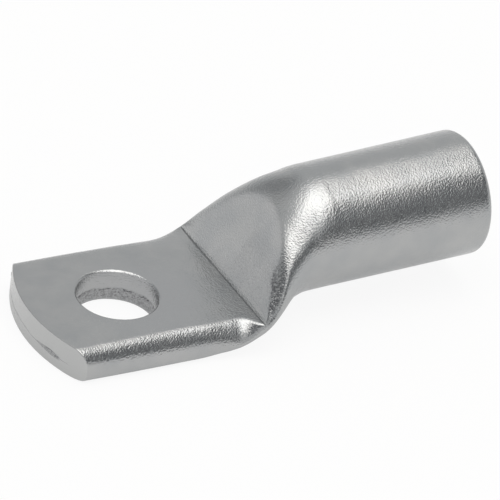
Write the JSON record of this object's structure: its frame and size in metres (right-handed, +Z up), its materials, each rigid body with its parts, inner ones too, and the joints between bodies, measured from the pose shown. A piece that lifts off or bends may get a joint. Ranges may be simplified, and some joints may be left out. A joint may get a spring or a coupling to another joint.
{
  "type": "cable lug",
  "caption": "Tubular stainless steel cable lug: a flat palm with a bolt hole, a steep pressed ramp, and a round barrel for the conductor, formed from one tube.",
  "frame": {"origin": "centre of the bolt hole, on the palm's flat underside", "axes": "+X along the lug from the palm towards the barrel's mouth, +Z up out of the bolt hole, away from the mounting surface"},
  "size_m": [0.0623, 0.0236, 0.0193],
  "materials": {
    "steel": "satin"
  },
  "bodies": {
    "root": {"cable_lug": "steel"}
  },
  "joints": []
}
